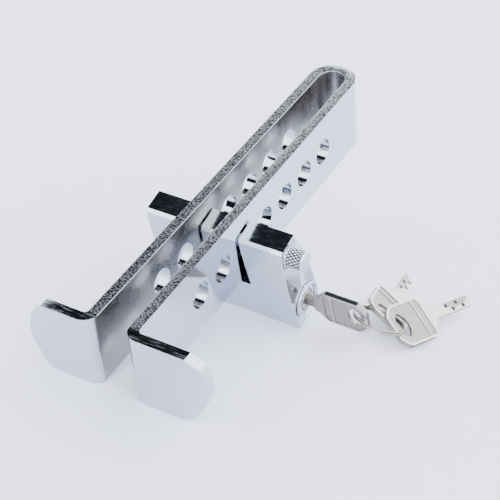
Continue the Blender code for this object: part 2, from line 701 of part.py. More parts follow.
def make_ring(frame):
    """A split ring: nearly two turns of wire side by side, stepping across where they swap."""
    steps = 40
    count = round(RING_TURNS * steps)
    points = []
    gap = RING_WIRE + 0.0001
    for k in range(count + 1):
        turn = 2 * math.pi * k / steps + math.radians(250)
        share = min(max((k - count / 2) / (0.25 * steps) + 0.5, 0), 1)
        lift = gap * (share * share * (3 - 2 * share) - 0.5)
        points.append(Vector((RING_RADIUS * math.cos(turn), RING_RADIUS * math.sin(turn), lift)))
    return add_object("split_ring", swept_wire(points, RING_WIRE / 2, 8), frame, NICKEL)


def heading(yaw, dip, roll):
    """A turn that points X along a heading, dipped below the horizon and rolled about itself."""
    turn = Matrix.Rotation(math.radians(yaw), 4, "Z") @ Matrix.Rotation(math.radians(dip), 4, "Y")
    return turn @ Matrix.Rotation(math.radians(roll), 4, "X")


def make_keys(body_frame, world_frame, body_matrix):
    in_body = Vector((KEY_1_COLLAR + HOLE_TO_COLLAR, CYLINDER_BACK, CYLINDER_Z))
    key_1_axes = Matrix(((-1, 0, 0, 0), (0, 0, 1, 0), (0, 1, 0, 0), (0, 0, 0, 1)))
    make_key("key_1", add_frame("key_1_frame", body_frame, Matrix.Translation(in_body) @ key_1_axes))
    ring_turn = heading(RING_HEADING, RING_DIP, RING_ROLL)
    first = body_matrix @ in_body
    centre = first + ring_turn @ (X * RING_RADIUS)
    ring_matrix = Matrix.Translation(centre) @ ring_turn
    make_ring(add_frame("ring_frame", world_frame, ring_matrix))
    for name, place in KEYS_ON_RING.items():
        turn = math.radians(place["around"])
        point = ring_matrix @ Vector((RING_RADIUS * math.cos(turn), RING_RADIUS * math.sin(turn), 0))
        matrix = Matrix.Translation(point) @ heading(place["heading"], place["dip"], place["roll"])
        make_key(name, add_frame(f"{name}_frame", world_frame, matrix))


def stand_on_origin(world_frame):
    """Moves everything so that the middle of the bottom of its box is the origin."""
    bpy.context.view_layer.update()
    graph = bpy.context.evaluated_depsgraph_get()
    corners = []
    for thing in bpy.context.view_layer.objects:
        if thing.type != "MESH" or thing.hide_render:
            continue
        evaluated = thing.evaluated_get(graph)
        corners += [evaluated.matrix_world @ vertex.co for vertex in evaluated.data.vertices]
    low = Vector([min(corner[i] for corner in corners) for i in range(3)])
    high = Vector([max(corner[i] for corner in corners) for i in range(3)])
    world_frame.location = (-(low.x + high.x) / 2, -(low.y + high.y) / 2, -low.z)


def main():
    clear_scene()
    world_frame = add_frame("pedal_lock", None, Matrix())
    strap_matrix = Matrix.Rotation(find_pitch(), 4, "X")
    strap_frame = add_frame("strap_frame", world_frame, strap_matrix)
    lean = Matrix.Translation((0, PIN_Y, PIN_Z)) @ Matrix.Rotation(LEAN, 4, "X")
    body_frame = add_frame("body_frame", strap_frame, lean)
    plug_frame = add_frame(
        "plug_frame", body_frame, Matrix.Translation((0, CYLINDER_BACK, CYLINDER_Z))
    )
    make_strap(strap_frame)
    make_body(body_frame)
    make_locking_pin(body_frame)
    make_latch(body_frame)
    make_housing(body_frame)
    make_plug(plug_frame)
    make_drivers(body_frame)
    make_keys(body_frame, world_frame, strap_matrix @ lean)
    stand_on_origin(world_frame)
    bpy.context.view_layer.update()


main()
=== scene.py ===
"""Pedal lock: the looks of a chromed steel strap, its keyed lock body and a bunch of keys."""

import json
import math

import bmesh
import bpy
from mathutils import Matrix, Vector


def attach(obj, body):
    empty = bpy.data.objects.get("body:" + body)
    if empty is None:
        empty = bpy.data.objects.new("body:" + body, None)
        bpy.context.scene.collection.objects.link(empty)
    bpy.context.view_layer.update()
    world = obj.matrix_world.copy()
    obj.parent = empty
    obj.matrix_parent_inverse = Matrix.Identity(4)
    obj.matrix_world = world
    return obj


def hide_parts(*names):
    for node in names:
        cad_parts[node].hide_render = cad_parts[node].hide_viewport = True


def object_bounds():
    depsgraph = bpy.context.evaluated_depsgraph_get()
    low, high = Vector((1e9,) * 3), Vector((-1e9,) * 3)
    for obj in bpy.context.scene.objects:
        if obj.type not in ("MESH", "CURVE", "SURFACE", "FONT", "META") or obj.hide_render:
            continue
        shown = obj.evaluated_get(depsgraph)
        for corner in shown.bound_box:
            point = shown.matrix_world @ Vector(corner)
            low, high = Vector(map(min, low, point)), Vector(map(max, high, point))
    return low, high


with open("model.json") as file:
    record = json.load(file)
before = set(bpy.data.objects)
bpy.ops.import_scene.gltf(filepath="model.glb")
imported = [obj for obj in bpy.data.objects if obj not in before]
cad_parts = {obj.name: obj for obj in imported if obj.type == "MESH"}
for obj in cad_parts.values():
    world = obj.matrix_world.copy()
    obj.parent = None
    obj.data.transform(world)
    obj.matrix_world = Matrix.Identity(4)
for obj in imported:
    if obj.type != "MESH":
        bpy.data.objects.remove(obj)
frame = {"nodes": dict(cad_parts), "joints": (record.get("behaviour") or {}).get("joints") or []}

bl_info = {
    "name": "Pedal Lock Looks",
    "version": (1, 0, 0),
    "blender": (4, 5, 0),
    "location": "View3D > Sidebar > Pedal Lock",
    "description": "Builds the fine surfaces, finishes and studio of a pedal lock around its frame",
    "category": "Object",
}

nodes = frame["nodes"]
joints = {joint["name"]: joint for joint in frame["joints"]}
CAD_LOW, CAD_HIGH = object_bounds()
Z = Vector((0, 0, 1))

WELD = 2e-6  # points this close are one
COPLANAR_DEGREES = 0.6  # facets flatter than this to each other are one face
LEVEL = 2e-5  # how far off a level a point still lies on it
FACING = 0.97  # cosine within which a face looks one way
GAP_MARGIN = 0.0006  # what the gap's faces may stand outside half the widest gap
THROUGH = 0.01  # reach of a cutter that goes right through a key
DIMPLE_SIDES = 20
FLOOR_GAP = 0.0002  # between the floor and the lowest point of the lock
FLOOR_REACH = 4.0


# ---- Places read from the frame --------------------------------------------------------------------------


def axes_matrix(x, z, origin):
    """A frame from its X and Z directions and its origin."""
    y = z.cross(x)
    return Matrix.Translation(origin) @ Matrix((x, y, z)).transposed().to_4x4()


def lock_matrix():
    """The lock body's frame: origin on the pin's axis, X along the pin, Z up the latch's travel."""
    rock = joints["body_rock"]
    up = Vector(joints["latch_slide"]["axis"])
    return axes_matrix(Vector(rock["axis"]), up, Vector(rock["pos_m"]))


def corner_points(node):
    return [vertex.co.copy() for vertex in nodes[node].data.vertices]


def flat_frame(node):
    """A key's own frame: Z through its thickness, X along it towards its narrow tip, origin at its middle."""
    mesh = nodes[node].data
    mesh.calc_loop_triangles()
    widest = max(mesh.loop_triangles, key=lambda triangle: triangle.area)
    z = widest.normal.copy()
    flat = [t for t in mesh.loop_triangles if abs(t.normal.dot(z)) > 0.999]
    area = sum(t.area for t in flat)
    middle = sum((t.center * t.area for t in flat), Vector()) / area
    side = z.orthogonal().normalized()
    up = z.cross(side)
    moments = [0.0, 0.0, 0.0]
    for triangle in flat:
        offset = triangle.center - middle
        a, b = offset.dot(side), offset.dot(up)
        moments[0] += a * a * triangle.area
        moments[1] += a * b * triangle.area
        moments[2] += b * b * triangle.area
    turn = math.atan2(2 * moments[1], moments[0] - moments[2]) / 2
    x = side * math.cos(turn) + up * math.sin(turn)
    reach = [(point - middle).dot(x) for point in corner_points(node)]
    if max(reach) < -min(reach):
        x = -x
        reach = [-value for value in reach]
    thickness = [(point - middle).dot(z) for point in corner_points(node)]
    width = [(point - middle).dot(z.cross(x)) for point in corner_points(node)]
    centre = middle + z * (max(thickness) + min(thickness)) / 2
    centre += z.cross(x) * (max(width) + min(width)) / 2
    long, thick = max(reach) - min(reach), max(thickness) - min(thickness)
    return axes_matrix(x, z, centre + x * max(reach)), long, thick


LOCK = lock_matrix()

# The lock's inner pieces, which keep the frame's own shape and only take a finish here.
BRASS_NODES = ("key_pin_", "driver_pin_", "pin_chamber_cover")
STEEL_NODES = ("latch_bolt", "latch_pocket_plug", "cylinder_cam", "cam_cross_pin", "housing_retaining_pin")


# ---- Finishes --------------------------------------------------------------------------------------------


def linear(hex_colour):
    """An sRGB hex colour as linear red, green, blue and alpha."""
    parts = [int(hex_colour[i : i + 2], 16) / 255 for i in (1, 3, 5)]
    return (*(c / 12.92 if c <= 0.04045 else ((c + 0.055) / 1.055) ** 2.4 for c in parts), 1.0)


def add_node(tree, kind, settings=None, **links):
    """Adds a node: settings are its properties; a link is a socket or a value, by name or as i0, i1."""
    node = tree.nodes.new(kind)
    for name, value in (settings or {}).items():
        setattr(node, name, value)
    for name, value in links.items():
        numbered = name[0] == "i" and name[1:].isdigit()
        socket = node.inputs[int(name[1:]) if numbered else name.replace("_", " ")]
        if isinstance(value, bpy.types.NodeSocket):
            tree.links.new(value, socket)
        else:
            socket.default_value = value
    return node


def new_finish(name, colour, metallic, roughness):
    """A material whose shader has its constants set, its tree, its shader and its object coordinates."""
    material = bpy.data.materials.new(name)
    material.use_nodes = True
    tree = material.node_tree
    shader = tree.nodes["Principled BSDF"]
    shader.inputs["Base Color"].default_value = linear(colour)
    shader.inputs["Metallic"].default_value = metallic
    shader.inputs["Roughness"].default_value = roughness
    place = add_node(tree, "ShaderNodeTexCoord").outputs["Object"]
    return material, tree, shader, place


def spread(tree, source, low, high, start=0.3, end=0.7):
    """A texture's value mapped onto a range."""
    ranged = add_node(tree, "ShaderNodeMapRange", None, i0=source, i1=start, i2=end, i3=low, i4=high)
    return ranged.outputs[0]


def grain(tree, place, size_mm, detail=2.0, stretch=None):
    """Noise whose lumps are that many millimetres across."""
    if stretch:
        place = add_node(
            tree, "ShaderNodeMapping", {"vector_type": "POINT"}, Vector=place, Scale=stretch
        ).outputs[0]
    noise = add_node(tree, "ShaderNodeTexNoise", None, Vector=place, Scale=1000 / size_mm, Detail=detail)
    return noise.outputs[0]


def relief(tree, shader, height, depth_mm, strength=1.0, under=None):
    """A bump of a real depth under the shader."""
    bump = add_node(tree, "ShaderNodeBump", None, Strength=strength, Distance=depth_mm / 1000, Height=height)
    if under:
        tree.links.new(under, bump.inputs["Normal"])
    tree.links.new(bump.outputs[0], shader.inputs["Normal"])
    return bump.outputs[0]


def chrome_plate():
    """Chromium plate over polished steel: a mirror whose slow waves bend what it reflects."""
    look = bpy.context.scene.pedal_lock_finishes
    material, tree, shader, place = new_finish("bright_chrome_plate", look.chrome, 1.0, look.chrome_roughness)
    clean, smeared = look.chrome_roughness * 0.6, look.chrome_roughness * 2.0
    smears = spread(tree, grain(tree, place, 9, 3.0), clean, smeared)
    tree.links.new(smears, shader.inputs["Roughness"])
    waves = relief(tree, shader, grain(tree, place, 14, 1.0), 0.030)
    relief(tree, shader, grain(tree, place, 0.9, 2.0), 0.0006, 1.0, waves)
    return material


def inside_chrome_painted_shade():
    """Chrome on the faces between the legs, a little blurred, with painted shade: darker and warm."""
    look = bpy.context.scene.pedal_lock_finishes
    material, tree, shader, place = new_finish("chrome_inside_painted_shade", look.inside, 1.0, 0.28)
    smears = grain(tree, place, 11, 3.0)
    tree.links.new(spread(tree, smears, 0.20, 0.38), shader.inputs["Roughness"])
    waves = relief(tree, shader, grain(tree, place, 16, 2.0), 0.25)
    relief(tree, shader, grain(tree, place, 1.2, 3.0), 0.004, 1.0, waves)
    return material


def sheared_edge():
    """The plate's sheared edge under chrome: torn grains under a millimetre across, with dark pits."""
    look = bpy.context.scene.pedal_lock_finishes
    material, tree, shader, place = new_finish("chromed_sheared_edge", look.edge, 1.0, 0.2)
    grains = grain(tree, place, 0.75, 3.0)
    pits = spread(tree, grain(tree, place, 1.1, 4.0), 0, 1, 0.36, 0.46)
    shade = add_node(tree, "ShaderNodeMix", {"data_type": "RGBA"}, i0=pits)
    shade.inputs[6].default_value = linear(look.edge_pits)
    shade.inputs[7].default_value = linear(look.edge)
    tree.links.new(shade.outputs[2], shader.inputs["Base Color"])
    tree.links.new(spread(tree, grains, 0.12, 0.42), shader.inputs["Roughness"])
    relief(tree, shader, grains, 0.07)
    return material


def hook_edge():
    """The hooks' dressed edge under chrome: nearly a mirror, with file marks along it."""
    look = bpy.context.scene.pedal_lock_finishes
    material, tree, shader, place = new_finish("chromed_filed_edge", look.edge, 1.0, 0.1)
    marks = grain(tree, place, 0.8, 3.0, (0.12, 1.0, 1.0))
    tree.links.new(spread(tree, marks, 0.06, 0.3, 0.45, 0.65), shader.inputs["Roughness"])
    relief(tree, shader, marks, 0.03)
    return material


def ground_top():
    """The body's ground and plated top: nearly a mirror, with short fine wheel marks."""
    look = bpy.context.scene.pedal_lock_finishes
    material, tree, shader, place = new_finish("ground_chrome_top", look.chrome, 1.0, 0.10)
    marks = grain(tree, place, 0.8, 3.0, (0.25, 1.0, 1.0))
    tree.links.new(spread(tree, marks, 0.06, 0.22), shader.inputs["Roughness"])
    relief(tree, shader, marks, 0.004)
    return material


def key_nickel():
    """Nickel-plated brass stamping: warm grey, satin, with fine rolled grain half a millimetre across."""
    look = bpy.context.scene.pedal_lock_finishes
    material, tree, shader, place = new_finish("nickel_plated_key_brass", look.key, 1.0, 0.36)
    lines = grain(tree, place, 0.5, 2.0)
    mottle = grain(tree, place, 3.0, 3.0)
    tree.links.new(spread(tree, mottle, 0.28, 0.46), shader.inputs["Roughness"])
    shade = add_node(tree, "ShaderNodeMix", {"data_type": "RGBA"}, i0=spread(tree, lines, 0, 1))
    shade.inputs[6].default_value = linear(look.key_shade)
    shade.inputs[7].default_value = linear(look.key)
    tree.links.new(shade.outputs[2], shader.inputs["Base Color"])
    relief(tree, shader, lines, 0.03)
    return material


def ring_nickel():
    """Drawn spring wire, nickel plated: bright, with faint drawing marks."""
    look = bpy.context.scene.pedal_lock_finishes
    material, tree, shader, place = new_finish("nickel_plated_spring_wire", look.ring, 1.0, 0.14)
    marks = grain(tree, place, 0.4, 2.0)
    tree.links.new(spread(tree, marks, 0.10, 0.22), shader.inputs["Roughness"])
    relief(tree, shader, marks, 0.004)
    return material


def turned_metal(name, colour, roughness, mark_mm):
    """Bar stock turned on a lathe: satin, with fine tool marks."""
    material, tree, shader, place = new_finish(name, colour, 1.0, roughness)
    marks = grain(tree, place, mark_mm, 3.0)
    tree.links.new(spread(tree, marks, roughness * 0.8, roughness * 1.3), shader.inputs["Roughness"])
    relief(tree, shader, marks, 0.008)
    return material


finishes = {}


def finish(name):
    makers = {
        "chrome": chrome_plate,
        "edge": sheared_edge,
        "hook_edge": hook_edge,
        "inside": inside_chrome_painted_shade,
        # Painted shade in cuts: dark, dull chrome for the knurl's deep faces and the keys' dimples and head
        # sides.
        "groove": lambda: turned_metal("dull_chrome_painted_shade_in_cuts", "#3B3D42", 0.40, 0.3),
        # Painted highlight on the keys' rims: brighter, smoother nickel than the key's flats.
        "rim": lambda: turned_metal("nickel_rim_painted_highlight", "#C6C1BA", 0.26, 0.5),
        "top": ground_top,
        "key": key_nickel,
        "ring": ring_nickel,
        # Free-cutting brass pins: yellow and satin.
        "brass": lambda: turned_metal("turned_brass", "#C9A35A", 0.28, 0.3),
        # Hardened steel: grey, a little dull from the furnace.
        "steel": lambda: turned_metal("hardened_steel", "#8F9196", 0.34, 0.4),
        # Nickel-plated brass plug: paler and smoother than the keys.
        "plug": lambda: turned_metal("nickel_plated_plug", "#9F998F", 0.22, 0.3),
    }
    if name not in finishes:
        finishes[name] = makers[name]()
    return finishes[name]


# ---- Mesh tools ------------------------------------------------------------------------------------------


def add_piece(name, maker, body, looks, stands_for=(), smooth_angle=30.0):
    """A shown piece from a bmesh in the row frame, riding on a body in the place of CAD nodes."""
    mesh = bpy.data.meshes.new(name)
    maker.to_mesh(mesh)
    maker.free()
    for look in looks:
        mesh.materials.append(finish(look))
    mesh.shade_smooth()
    mesh.set_sharp_from_angle(angle=math.radians(smooth_angle))
    piece = bpy.data.objects.new(name, mesh)
    bpy.context.scene.collection.objects.link(piece)
    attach(piece, body)
    if stands_for:
        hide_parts(*stands_for)
    return piece


def solid_copy(node):
    """The CAD node's solid, its triangles joined back into flat faces."""
    maker = bmesh.new()
    maker.from_mesh(nodes[node].data)
    bmesh.ops.remove_doubles(maker, verts=maker.verts, dist=WELD)
    flat = math.radians(COPLANAR_DEGREES)
    bmesh.ops.dissolve_limit(maker, angle_limit=flat, verts=maker.verts, edges=maker.edges)
    return maker


def round_edges(piece, width_mm, segments=2, angle=30.0, material=0):
    """Small rounds along a piece's sharp edges, with the flats' shading kept flat."""
    bevel = piece.modifiers.new("worn_edges", "BEVEL")
    bevel.width = width_mm / 1000
    bevel.segments = segments
    bevel.limit_method = "ANGLE"
    bevel.angle_limit = math.radians(angle)
    bevel.material = material
    bevel.harden_normals = True
    bevel.use_clamp_overlap = True
    piece.data.shade_smooth()


def prism(outline, low, high):
    """A closed prism along Z from a counter-clockwise outline of X and Y."""
    maker = bmesh.new()
    rows = [[maker.verts.new((x, y, z)) for x, y in outline] for z in (low, high)]
    maker.faces.new(rows[0][::-1])
    maker.faces.new(rows[1])
    for i in range(len(outline)):
        j = (i + 1) % len(outline)
        maker.faces.new((rows[0][i], rows[0][j], rows[1][j], rows[1][i]))
    return maker


def rounded(outline, radius, steps=5):
    """The outline with its corners rounded to a radius, as far as its sides allow."""
    points = []
    count = len(outline)
    for i in range(count):
        before, here, after = (Vector(outline[(i + k) % count]) for k in (-1, 0, 1))
        back, ahead = before - here, after - here
        bend = math.pi - back.angle(ahead)
        cut = min(radius * math.tan(bend / 2), 0.45 * back.length, 0.45 * ahead.length)
        if bend < math.radians(6):
            points.append(tuple(here))
            continue
        start, end = here + back.normalized() * cut, here + ahead.normalized() * cut
        for k in range(steps + 1):
            t = k / steps
            points.append(tuple(start * (1 - t) ** 2 + here * 2 * t * (1 - t) + end * t * t))
    return points


def cut(piece, maker, matrix=None):
    """Takes a shape away from a piece for good."""
    mesh = bpy.data.meshes.new("cutter")
    bmesh.ops.recalc_face_normals(maker, faces=maker.faces)
    maker.to_mesh(mesh)
    maker.free()
    tool = bpy.data.objects.new("cutter", mesh)
    bpy.context.scene.collection.objects.link(tool)
    if matrix is not None:
        tool.matrix_world = matrix
    boolean = piece.modifiers.new("cut", "BOOLEAN")
    boolean.object = tool
    boolean.operation = "DIFFERENCE"
    boolean.solver = "MANIFOLD"
    apply_modifiers(piece)
    bpy.data.objects.remove(tool)


def apply_modifiers(piece):
    bpy.context.view_layer.update()
    evaluated = piece.evaluated_get(bpy.context.evaluated_depsgraph_get())
    made = bpy.data.meshes.new_from_object(evaluated)
    piece.modifiers.clear()
    piece.data = made


def turned(profile, segments, shape=None):
    """A solid turned about X from (along, radius) pairs; shape(along, turn) may lower a radius."""
    maker = bmesh.new()
    rings = []
    for along, radius in profile:
        if radius == 0:
            rings.append([maker.verts.new((along, 0, 0))])
            continue
        ring = []
        for i in range(segments):
            turn = 2 * math.pi * i / segments
            reach = radius - (shape(along, turn) if shape else 0)
            ring.append(maker.verts.new((along, reach * math.cos(turn), reach * math.sin(turn))))
        rings.append(ring)
    for near, far in zip(rings, rings[1:]):
        for i in range(segments):
            j = (i + 1) % segments
            corners = [near[i % len(near)], far[i % len(far)], far[j % len(far)], near[j % len(near)]]
            maker.faces.new(list(dict.fromkeys(corners)))
    bmesh.ops.recalc_face_normals(maker, faces=maker.faces)
    return maker


# ---- Pieces ----------------------------------------------------------------------------------------------


def strap_frame():
    """The strap's frame: X across its legs, Z up its plate; the body leans on it."""
    sizes = bpy.context.scene.pedal_lock_sizes
    return LOCK @ Matrix.Rotation(-math.radians(sizes.body_lean), 4, "X")


def build_strap():
    sizes = bpy.context.scene.pedal_lock_sizes
    inverse = strap_frame().inverted()
    maker = solid_copy("u_strap")
    maker.transform(inverse)
    bmesh.ops.recalc_face_normals(maker, faces=maker.faces)
    high = max(vertex.co.z for vertex in maker.verts)
    low = min(vertex.co.z for vertex in maker.verts)
    front = min(vertex.co.y for vertex in maker.verts)
    thick = sizes.strap_thickness
    half_gap = sizes.strap_gap / 2 + GAP_MARGIN
    inner = []
    for edge in maker.edges:
        level = all(min(abs(v.co.z - high), abs(v.co.z - low)) < LEVEL for v in edge.verts)
        inside = all(abs(v.co.x) < half_gap and v.co.y > front + thick for v in edge.verts)
        if level and inside and edge.is_manifold and edge.calc_face_angle() > math.radians(60):
            inner.append(edge)
    bmesh.ops.bevel(
        maker, geom=inner, offset=sizes.strap_inner_round, segments=3, profile=0.5, affect="EDGES",
        clamp_overlap=True,
    )
    bmesh.ops.bisect_plane(
        maker, geom=maker.verts[:] + maker.edges[:] + maker.faces[:], dist=1e-6,
        plane_co=(0, front + thick + sizes.strap_bend, 0), plane_no=(0, 1, 0),
    )
    for face in maker.faces:
        middle = face.calc_center_median()
        gap = abs(middle.x) < half_gap and middle.y > front + thick
        if abs(face.normal.z) > FACING:
            face.material_index = 1 if middle.y > front + thick + sizes.strap_bend else 3
        # Faces between the legs take painted shade: darker, warm chrome.
        elif abs(face.normal.z) < 0.1 and gap:
            face.material_index = 2
        else:
            face.material_index = 0
    maker.transform(inverse.inverted())
    looks = ("chrome", "edge", "inside", "hook_edge")
    piece = add_piece("strap_plate", maker, "strap", looks, ("u_strap",))
    round_edges(piece, sizes.strap_round * 1000, 2)


def build_body():
    sizes = bpy.context.scene.pedal_lock_sizes
    up = LOCK.to_3x3() @ Z
    maker = solid_copy("lock_body")
    high = max(vertex.co.dot(up) for vertex in maker.verts)
    for face in maker.faces:
        on_top = face.normal.dot(up) > FACING and face.calc_center_median().dot(up) > high - 0.001
        face.material_index = 1 if on_top else 0
    piece = add_piece("body_block", maker, "lock_body", ("chrome", "top"), ("lock_body",))
    round_edges(piece, sizes.body_round * 1000, 2)


def knurl(sizes, start, end):
    """How far the knob's diamond knurl lies below its crests, at a place along and around it."""
    twist = sizes.knurl_teeth * math.tan(math.radians(sizes.knurl_angle)) / (sizes.knob_diameter / 2)

    def depth(along, turn):
        if not start < along < end:
            return 0.0
        ridges = []
        for way in (-1, 1):
            phase = (sizes.knurl_teeth * turn + way * twist * (along - start)) / (2 * math.pi)
            ridges.append(abs(phase - math.floor(phase) - 0.5) * 2)
        fade = min(1, (along - start) / sizes.knurl_fade, (end - along) / sizes.knurl_fade)
        return sizes.knurl_depth * fade * max(ridges)

    return depth


def build_pin():
    sizes = bpy.context.scene.pedal_lock_sizes
    inverse = LOCK.inverted()
    points = [inverse @ point for point in corner_points("locking_pin")]
    tip = min(point.x for point in points)
    end = max(point.x for point in points)
    rim = max(math.hypot(point.y, point.z) for point in points)
    shank = max(math.hypot(p.y, p.z) for p in points if p.x < tip + sizes.pin_end)
    knob_start = min(p.x for p in points if math.hypot(p.y, p.z) > (rim + shank) / 2)
    neck = min(math.hypot(p.y, p.z) for p in points if abs(p.x) < sizes.groove_search - 0.001)
    groove = max(abs(p.x) for p in points if abs(p.x) < sizes.groove_search)
    nose, chamfer = sizes.pin_nose, sizes.knob_chamfer
    profile = [(tip, 0), (tip, shank - nose), (tip + nose, shank), (-groove, shank), (-groove, neck)]
    profile += [(groove, neck), (groove, shank), (knob_start, shank), (knob_start, rim)]
    steps = sizes.knurl_steps
    first, last = knob_start + sizes.knob_collar, end - chamfer
    profile += [(first + (last - first) * k / steps, rim) for k in range(steps + 1)]
    profile += [(end, rim - chamfer), (end, 0)]
    depth = knurl(sizes, first, last)
    maker = turned(profile, sizes.knurl_teeth * 12, depth)
    # Faces deep in the knurl take painted shade: dark, dull chrome.
    for face in maker.faces:
        middle = face.calc_center_median()
        low = depth(middle.x, math.atan2(middle.z, middle.y)) > sizes.knurl_depth * sizes.knurl_painted_shade_share
        face.material_index = 1 if low else 0
    maker.transform(LOCK)
    add_piece("pin_and_knob", maker, "locking_pin", ("chrome", "groove"), ("locking_pin",), 40.0)


def build_cylinder():
    for name, node, body, slot, look in (
        ("housing_shell", "cylinder_housing", "lock_body", "chrome", "chrome"),
        ("plug_core", "cylinder_plug", "plug", "nickel", "plug"),
    ):
        piece = add_piece(name, solid_copy(node), body, (look,), (node,))
        round_edges(piece, 0.12, 2)
    for node, thing in nodes.items():
        if node.startswith(BRASS_NODES) or node in STEEL_NODES or node.startswith("pin_spring"):
            look = "brass" if node.startswith(BRASS_NODES) else "steel"
            thing.data.materials.clear()
            thing.data.materials.append(finish(look))


def key_outline(sizes, length):
    """A key's outline from its tip at X 0: dimpled blade, stepped collar and chamfered head."""
    root = -sizes.blade_length
    end = -length
    blade, collar, head = sizes.blade_width / 2, sizes.collar_width / 2, sizes.head_width / 2
    step = sizes.collar_length / 2
    corner = sizes.head_chamfer
    half = [(0, blade - sizes.tip_chamfer), (-sizes.tip_chamfer, blade), (root + step, blade)]
    half += [(root + step, collar), (root - step, collar)]
    half += [(root - 0.6 * sizes.shoulder_length, head - sizes.shoulder_inset)]
    half += [(root - sizes.shoulder_length, head), (end + corner, head)]
    half += [(end + 0.5 * corner, head - 0.4 * corner), (end, head - corner)]
    return half + [(x, -y) for x, y in half[::-1]]


def build_key(name, body):
    sizes = bpy.context.scene.pedal_lock_sizes
    matrix, length, thickness = flat_frame(name)
    outline = rounded(key_outline(sizes, length)[::-1], sizes.key_corner)
    maker = prism(outline, -thickness / 2, thickness / 2)
    bmesh.ops.recalc_face_normals(maker, faces=maker.faces)
    mesh = bpy.data.meshes.new(name)
    maker.to_mesh(mesh)
    maker.free()
    shell = bpy.data.objects.new(name + "_shell", mesh)
    bpy.context.scene.collection.objects.link(shell)
    root = -sizes.blade_length
    hole_x = -length + sizes.hole_from_end
    hole = rounded(lens(sizes.hole_length, sizes.hole_width), 0.0006, 3)
    cut(shell, prism([(x + hole_x, y) for x, y in hole], -THROUGH, THROUGH))
    inner = sizes.head_width / 2 - sizes.rim_width
    panel_start = root - sizes.shoulder_length * 0.75
    panel_end = -length + sizes.rim_width
    corner = sizes.head_chamfer
    label = panel_start - sizes.label_width
    wide = [(panel_end, inner - corner * 0.9), (panel_end + corner * 0.45, inner - corner * 0.38)]
    wide += [(panel_end + corner * 0.9, inner), (label - sizes.rib_width, inner)]
    panel = wide + [(x, -y) for x, y in wide[::-1]]
    slope = panel_start - 0.4 * sizes.shoulder_inset
    strip = [(label, -inner), (slope, -inner), (panel_start, -inner + sizes.shoulder_inset)]
    strip += [(panel_start, inner - sizes.shoulder_inset), (slope, inner), (label, inner)]
    for face in (-1, 1):
        floor = thickness / 2 - sizes.panel_depth
        low, high = sorted((face * floor, face * THROUGH))
        cut(shell, prism(rounded(panel[::-1], 0.0012), low, high))
        cut(shell, prism(rounded(strip, 0.0006), low, high))
        for i in range(sizes.dimple_count):
            along = root + sizes.first_dimple + sizes.dimple_pitch * i
            across = sizes.dimple_offset * (-1) ** i
            deep, wide_at = sizes.dimple_depth, sizes.dimple_width / 2
            over = 0.8 * deep
            flare = wide_at + over * (wide_at - deep) / deep
            dimple = turned([(0, 0), (0, deep), (deep + over, flare), (deep + over, 0)], DIMPLE_SIDES)
            turn = Matrix.Rotation(-face * math.pi / 2, 4, "Y")
            place = Matrix.Translation((along, across, face * (thickness / 2 - deep)))
            cut(shell, dimple, place @ turn)
    maker = bmesh.new()
    maker.from_mesh(shell.data)
    bpy.data.objects.remove(shell)
    shade_key(maker, sizes, thickness)
    maker.transform(matrix)
    # The rim takes a painted highlight, the dimples and the head's sides painted shade.
    piece = add_piece(name + "_blank", maker, body, ("key", "rim", "groove"), (name,))
    round_edges(piece, 0.12, 2, 35)


def shade_key(maker, sizes, thickness):
    """Gives a key's rim a painted highlight and its dimples and its head's sides painted shade."""
    root = -sizes.blade_length
    for face in maker.faces:
        middle = face.calc_center_median()
        flat = abs(face.normal.z) > 0.9
        on_top = abs(abs(middle.z) - thickness / 2) < 1e-5
        in_blade = middle.x > root + sizes.collar_length
        if flat and on_top and not in_blade:
            face.material_index = 1
        elif in_blade and abs(middle.y) < sizes.blade_width / 2 - 0.0003 and not (flat and on_top):
            face.material_index = 2
        elif not flat and abs(middle.y) > sizes.head_width / 2 - 0.0007:
            face.material_index = 2
        else:
            face.material_index = 0


def lens(length, width, steps=9):
    """A pointed oval across a key, counter-clockwise, as two arcs."""
    half = length / 2
    rise = width / 2
    radius = (half * half + rise * rise) / (2 * rise)
    sweep = math.asin(half / radius)
    points = []
    for side in (1, -1):
        for k in range(steps):
            turn = -sweep + 2 * sweep * k / steps
            across = radius * math.cos(turn) - radius + rise
            points.append((side * across, side * radius * math.sin(turn)))
    return points


def build_ring():
    maker = bmesh.new()
    maker.from_mesh(nodes["split_ring"].data)
    bmesh.ops.remove_doubles(maker, verts=maker.verts, dist=WELD)
    bmesh.ops.join_triangles(
        maker, faces=maker.faces, angle_face_threshold=math.radians(30),
        angle_shape_threshold=math.radians(60),
    )
    piece = add_piece("ring_wire", maker, "ring", ("ring",), ("split_ring",), 80.0)
    fine = piece.modifiers.new("round_section", "SUBSURF")
    fine.levels = 2
    fine.render_levels = 2
    swell = piece.modifiers.new("full_section", "DISPLACE")
    swell.mid_level = 0.0
    swell.strength = bpy.context.scene.pedal_lock_sizes.ring_swell


# ---- Studio ----------------------------------------------------------------------------------------------


def build_stage():
    look = bpy.context.scene.pedal_lock_finishes
    maker = bmesh.new()
    bmesh.ops.create_grid(maker, x_segments=8, y_segments=8, size=FLOOR_REACH)
    maker.transform(Matrix.Translation((0, 0, CAD_LOW.z - FLOOR_GAP)))
    mesh = bpy.data.meshes.new("studio_floor")
    maker.to_mesh(mesh)
    maker.free()
    floor = bpy.data.objects.new("studio_floor", mesh)
    bpy.context.scene.collection.objects.link(floor)
    # Matt laminate sheet: pale, cool and even.
    mesh.materials.append(new_finish("matt_laminate_floor", look.floor, 0.0, 0.6)[0])
    build_world(look)
    build_camera()


